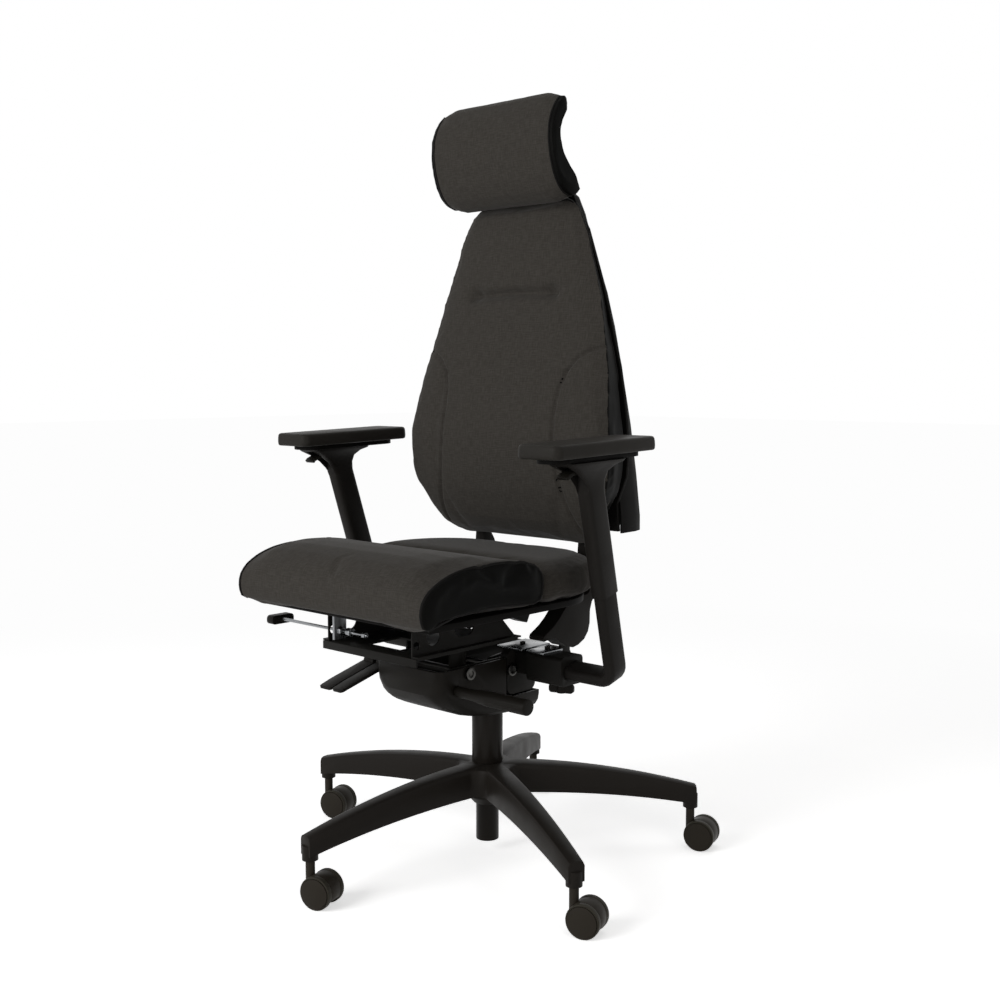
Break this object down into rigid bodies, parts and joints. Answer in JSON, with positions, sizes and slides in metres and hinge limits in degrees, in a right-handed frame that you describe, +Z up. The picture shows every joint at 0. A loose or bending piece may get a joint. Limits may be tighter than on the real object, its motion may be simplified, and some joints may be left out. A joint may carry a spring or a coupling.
{
  "type": "office chair",
  "caption": "High-backed ergonomic office chair on a star base with castors, with a two-part seat, headrest and adjustable arms.",
  "frame": {"origin": "on the floor, on the gas column's axis", "axes": "+Z up, the sitter faces -Y, +X towards the sitter's left arm"},
  "size_m": [0.6926, 0.6834, 1.202],
  "materials": {
    "base_plastic": "glass-filled nylon, finely textured",
    "column_black": "satin black",
    "bright_steel": "zinc plated",
    "guide_plastic": "smooth",
    "wheel_plastic": "moulded",
    "tread_rubber": "worn matte",
    "black_steel": "powder coat",
    "cover_plastic": "moulded",
    "spring_steel": "oiled",
    "lever_plastic": "moulded",
    "zinc_steel": "zinc plated",
    "arm_metal": "textured powder coat",
    "fabric": "woven",
    "shell_plastic": "textured",
    "pad_plastic": "soft polyurethane"
  },
  "bodies": {
    "base": {"star_base": "base_plastic", "column_tube": "column_black", "column_bush": "guide_plastic", "thrust_bearing": "bright_steel"},
    "caster_1": {"caster_hood_1": "wheel_plastic"},
    "wheels_1": {"caster_wheels_1": "wheel_plastic", "caster_treads_1": "tread_rubber"},
    "caster_2": {"caster_hood_2": "wheel_plastic"},
    "wheels_2": {"caster_wheels_2": "wheel_plastic", "caster_treads_2": "tread_rubber"},
    "caster_3": {"caster_hood_3": "wheel_plastic"},
    "wheels_3": {"caster_wheels_3": "wheel_plastic", "caster_treads_3": "tread_rubber"},
    "caster_4": {"caster_hood_4": "wheel_plastic"},
    "wheels_4": {"caster_wheels_4": "wheel_plastic", "caster_treads_4": "tread_rubber"},
    "caster_5": {"caster_hood_5": "wheel_plastic"},
    "wheels_5": {"caster_wheels_5": "wheel_plastic", "caster_treads_5": "tread_rubber"},
    "column_rod": {"piston_rod": "bright_steel"},
    "mechanism": {"gas_cylinder": "column_black", "mechanism_housing": "black_steel", "mechanism_cover": "cover_plastic", "pivot_shafts": "bright_steel", "tension_spring": "spring_steel", "arm_clamps": "black_steel", "bracket_plates": "bright_steel", "bracket_bolts": "black_steel"},
    "tension_grip": {"tension_handle": "lever_plastic"},
    "lift_paddle": {"lift_lever": "lever_plastic"},
    "tilt_paddle": {"tilt_lever": "lever_plastic"},
    "back_frame": {"back_arm_left": "arm_metal", "back_arm_right": "arm_metal", "back_cross": "black_steel"},
    "seat_tilt_plate": {"seat_carrier": "zinc_steel"},
    "seat": {"seat_side_plates": "black_steel", "seat_board": "shell_plastic", "depth_latch": "zinc_steel", "seat_front_cushion": "fabric", "seat_rear_cushion": "fabric"},
    "depth_knob": {"adjuster_rod": "lever_plastic"},
    "backrest": {"back_board": "shell_plastic", "back_shell": "shell_plastic", "back_cushion": "fabric"},
    "head_post": {"headrest_post": "black_steel"},
    "headrest": {"headrest_shell": "shell_plastic", "headrest_cushion": "fabric"},
    "arm_left": {"arm_bracket_left": "arm_metal"},
    "arm_left_sleeve": {"arm_sleeve_left": "arm_metal"},
    "arm_left_trigger": {"arm_trigger_left": "lever_plastic"},
    "arm_left_plate": {"arm_plate_left": "shell_plastic"},
    "arm_left_pad": {"arm_pad_left": "pad_plastic"},
    "arm_left_knob": {"arm_knob_left": "lever_plastic"},
    "arm_right": {"arm_bracket_right": "arm_metal"},
    "arm_right_sleeve": {"arm_sleeve_right": "arm_metal"},
    "arm_right_trigger": {"arm_trigger_right": "lever_plastic"},
    "arm_right_plate": {"arm_plate_right": "shell_plastic"},
    "arm_right_pad": {"arm_pad_right": "pad_plastic"},
    "arm_right_knob": {"arm_knob_right": "lever_plastic"}
  },
  "joints": [
    {"name": "caster_swivel_1", "type": "hinge", "parent": "base", "child": "caster_1", "pos_m": [0.30161, -0.1458, 0.06], "axis": [0, 0, 1], "continuous": true},
    {"name": "wheel_spin_1", "type": "hinge", "parent": "caster_1", "child": "wheels_1", "pos_m": [0.32067, -0.13976, 0.025], "axis": [-0.3024, 0.9532, 0], "continuous": true},
    {"name": "caster_swivel_2", "type": "hinge", "parent": "base", "child": "caster_2", "pos_m": [0.23187, 0.24179, 0.06], "axis": [0, 0, 1], "continuous": true},
    {"name": "wheel_spin_2", "type": "hinge", "parent": "caster_2", "child": "wheels_2", "pos_m": [0.25093, 0.24784, 0.025], "axis": [-0.3024, 0.9532, 0], "continuous": true},
    {"name": "caster_swivel_3", "type": "hinge", "parent": "base", "child": "caster_3", "pos_m": [-0.1583, 0.29524, 0.06], "axis": [0, 0, 1], "continuous": true},
    {"name": "wheel_spin_3", "type": "hinge", "parent": "caster_3", "child": "wheels_3", "pos_m": [-0.13924, 0.30128, 0.025], "axis": [-0.3024, 0.9532, 0], "continuous": true},
    {"name": "caster_swivel_4", "type": "hinge", "parent": "base", "child": "caster_4", "pos_m": [-0.32971, -0.05932, 0.06], "axis": [0, 0, 1], "continuous": true},
    {"name": "wheel_spin_4", "type": "hinge", "parent": "caster_4", "child": "wheels_4", "pos_m": [-0.31064, -0.05328, 0.025], "axis": [-0.3024, 0.9532, 0], "continuous": true},
    {"name": "caster_swivel_5", "type": "hinge", "parent": "base", "child": "caster_5", "pos_m": [-0.04546, -0.3319, 0.06], "axis": [0, 0, 1], "continuous": true},
    {"name": "wheel_spin_5", "type": "hinge", "parent": "caster_5", "child": "wheels_5", "pos_m": [-0.0264, -0.32585, 0.025], "axis": [-0.3024, 0.9532, 0], "continuous": true},
    {"name": "seat_swivel", "type": "hinge", "parent": "base", "child": "column_rod", "pos_m": [0, 0, 0.03], "axis": [0, 0, 1], "continuous": true},
    {"name": "column_lift", "type": "slide", "parent": "column_rod", "child": "mechanism", "axis": [0, 0, 1], "range_m": [0, 0.11]},
    {"name": "tension_turn", "type": "hinge", "parent": "mechanism", "child": "tension_grip", "pos_m": [0.1, -0.143, 0.303], "axis": [1, 0, 0], "range_deg": [-720, 720]},
    {"name": "lift_pull", "type": "hinge", "parent": "mechanism", "child": "lift_paddle", "pos_m": [-0.1, -0.144, 0.322], "axis": [-1, 0, 0], "range_deg": [0, 10], "stiffness_Nm_per_rad": 0.5, "springref_deg": -5.73},
    {"name": "tilt_pull", "type": "hinge", "parent": "mechanism", "child": "tilt_paddle", "pos_m": [-0.08, -0.144, 0.322], "axis": [-1, 0, 0], "range_deg": [0, 10], "stiffness_Nm_per_rad": 0.5, "springref_deg": -5.73},
    {"name": "back_recline", "type": "hinge", "parent": "mechanism", "child": "back_frame", "pos_m": [0, -0.022, 0.316], "axis": [-1, 0, 0], "range_deg": [0, 20], "stiffness_Nm_per_rad": 60, "springref_deg": -22.92},
    {"name": "seat_tilt", "type": "hinge", "parent": "mechanism", "child": "seat_tilt_plate", "pos_m": [0, -0.117, 0.326], "axis": [-1, 0, 0], "range_deg": [0, 7.1]},
    {"name": "seat_depth", "type": "slide", "parent": "seat_tilt_plate", "child": "seat", "axis": [0, -1, 0], "range_m": [0, 0.05]},
    {"name": "depth_turn", "type": "hinge", "parent": "seat", "child": "depth_knob", "pos_m": [-0.1, -0.245, 0.391], "axis": [1, 0, 0], "range_deg": [-90, 90]},
    {"name": "back_height", "type": "slide", "parent": "back_frame", "child": "backrest", "axis": [0, 0, 1], "range_m": [0, 0.06]},
    {"name": "head_height", "type": "slide", "parent": "backrest", "child": "head_post", "axis": [0, 0, 1], "range_m": [0, 0.06]},
    {"name": "head_tilt", "type": "hinge", "parent": "head_post", "child": "headrest", "pos_m": [0, 0.068, 1.126], "axis": [1, 0, 0], "range_deg": [-15, 15]},
    {"name": "arm_width_left", "type": "slide", "parent": "mechanism", "child": "arm_left", "axis": [1, 0, 0], "range_m": [0, 0.03]},
    {"name": "arm_clamp_left", "type": "hinge", "parent": "mechanism", "child": "arm_left_knob", "pos_m": [0.15, 0.00738, 0.295], "axis": [0, 0, 1], "range_deg": [-360, 360]},
    {"name": "arm_height_left", "type": "slide", "parent": "arm_left", "child": "arm_left_sleeve", "axis": [0.048, -0.272, 0.9611], "range_m": [-0.04, 0.06]},
    {"name": "arm_release_left", "type": "hinge", "parent": "arm_left_sleeve", "child": "arm_left_trigger", "pos_m": [0.272, -0.101, 0.641], "axis": [-1, 0, 0], "range_deg": [0, 6], "stiffness_Nm_per_rad": 0.4, "springref_deg": -8.59},
    {"name": "pad_swivel_left", "type": "hinge", "parent": "arm_left_sleeve", "child": "arm_left_plate", "pos_m": [0.272, -0.086, 0.655], "axis": [0, -0.029, 0.9996], "range_deg": [-12, 12]},
    {"name": "pad_depth_left", "type": "slide", "parent": "arm_left_plate", "child": "arm_left_pad", "axis": [0, 0.9996, 0.029], "range_m": [-0.025, 0.025]},
    {"name": "arm_width_right", "type": "slide", "parent": "mechanism", "child": "arm_right", "axis": [-1, 0, 0], "range_m": [0, 0.03]},
    {"name": "arm_clamp_right", "type": "hinge", "parent": "mechanism", "child": "arm_right_knob", "pos_m": [-0.15, 0.00738, 0.295], "axis": [0, 0, 1], "range_deg": [-360, 360]},
    {"name": "arm_height_right", "type": "slide", "parent": "arm_right", "child": "arm_right_sleeve", "axis": [-0.048, -0.272, 0.9611], "range_m": [-0.04, 0.06]},
    {"name": "arm_release_right", "type": "hinge", "parent": "arm_right_sleeve", "child": "arm_right_trigger", "pos_m": [-0.272, -0.101, 0.641], "axis": [-1, 0, 0], "range_deg": [0, 6], "stiffness_Nm_per_rad": 0.4, "springref_deg": -8.59},
    {"name": "pad_swivel_right", "type": "hinge", "parent": "arm_right_sleeve", "child": "arm_right_plate", "pos_m": [-0.272, -0.086, 0.655], "axis": [0, -0.029, 0.9996], "range_deg": [-12, 12]},
    {"name": "pad_depth_right", "type": "slide", "parent": "arm_right_plate", "child": "arm_right_pad", "axis": [0, 0.9996, 0.029], "range_m": [-0.025, 0.025]}
  ],
  "couplings": [
    {"joint": "seat_tilt", "follows": "back_recline", "ratio": 0.35}
  ]
}
